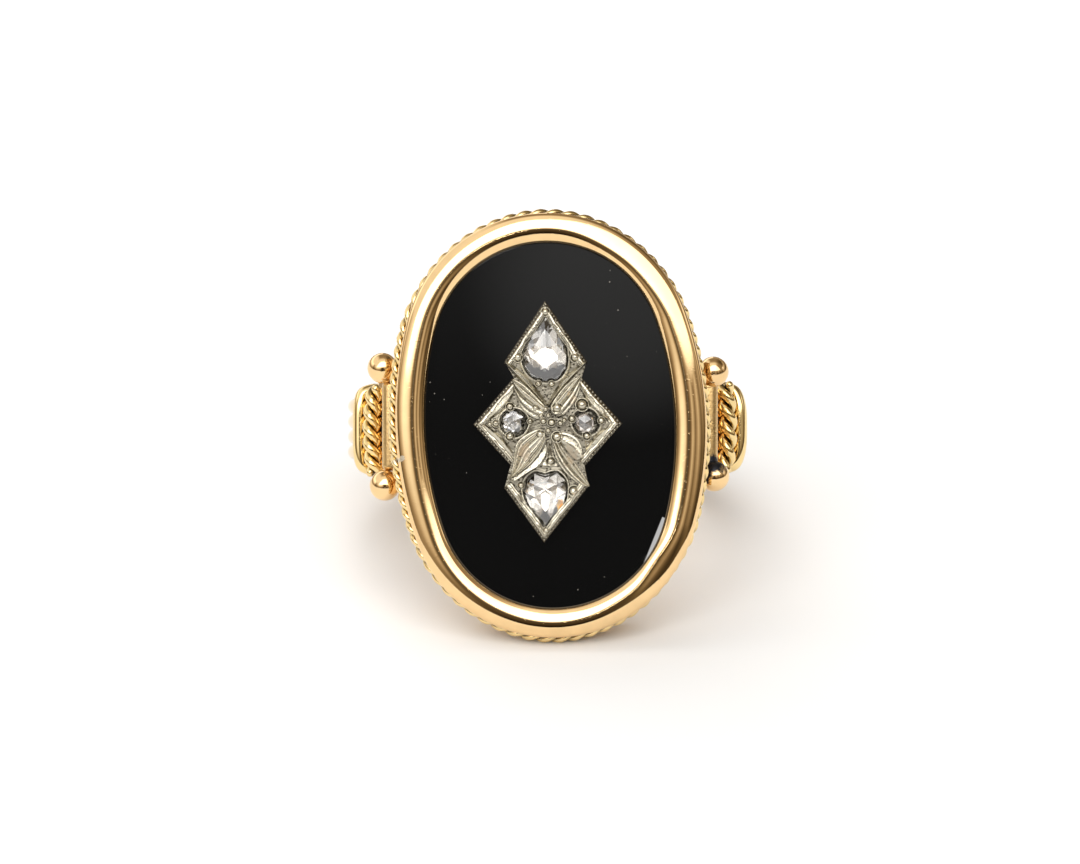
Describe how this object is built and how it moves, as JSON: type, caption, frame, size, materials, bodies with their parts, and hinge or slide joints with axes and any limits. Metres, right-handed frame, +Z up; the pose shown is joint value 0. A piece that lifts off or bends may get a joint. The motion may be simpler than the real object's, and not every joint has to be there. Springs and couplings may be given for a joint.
{
  "type": "onyx ring",
  "caption": "Finger ring with an oval black onyx plate in a half-round gold rim, a silver plaque of three lozenges with rose-cut diamonds, and a reeded hoop.",
  "frame": {"origin": "middle of the ring's box on the surface that it lies on", "axes": "+Z up from the surface, -Y towards the side that the ring's face looks to, +X to the right of one who looks at the face"},
  "size_m": [0.022, 0.0262, 0.0211],
  "materials": {
    "gold": "polished",
    "silver": "engraved",
    "onyx": "polished stone",
    "diamond": "clear, faceted"
  },
  "bodies": {
    "root": {"ring_mount": "gold", "bezel_twisted_wire": "gold", "shoulder_twisted_wire_left": "gold", "shoulder_twisted_wire_right": "gold", "onyx_plate": "onyx", "silver_plaque": "silver", "diamond_top": "diamond", "diamond_left": "diamond", "diamond_right": "diamond", "diamond_bottom": "diamond"}
  },
  "joints": []
}
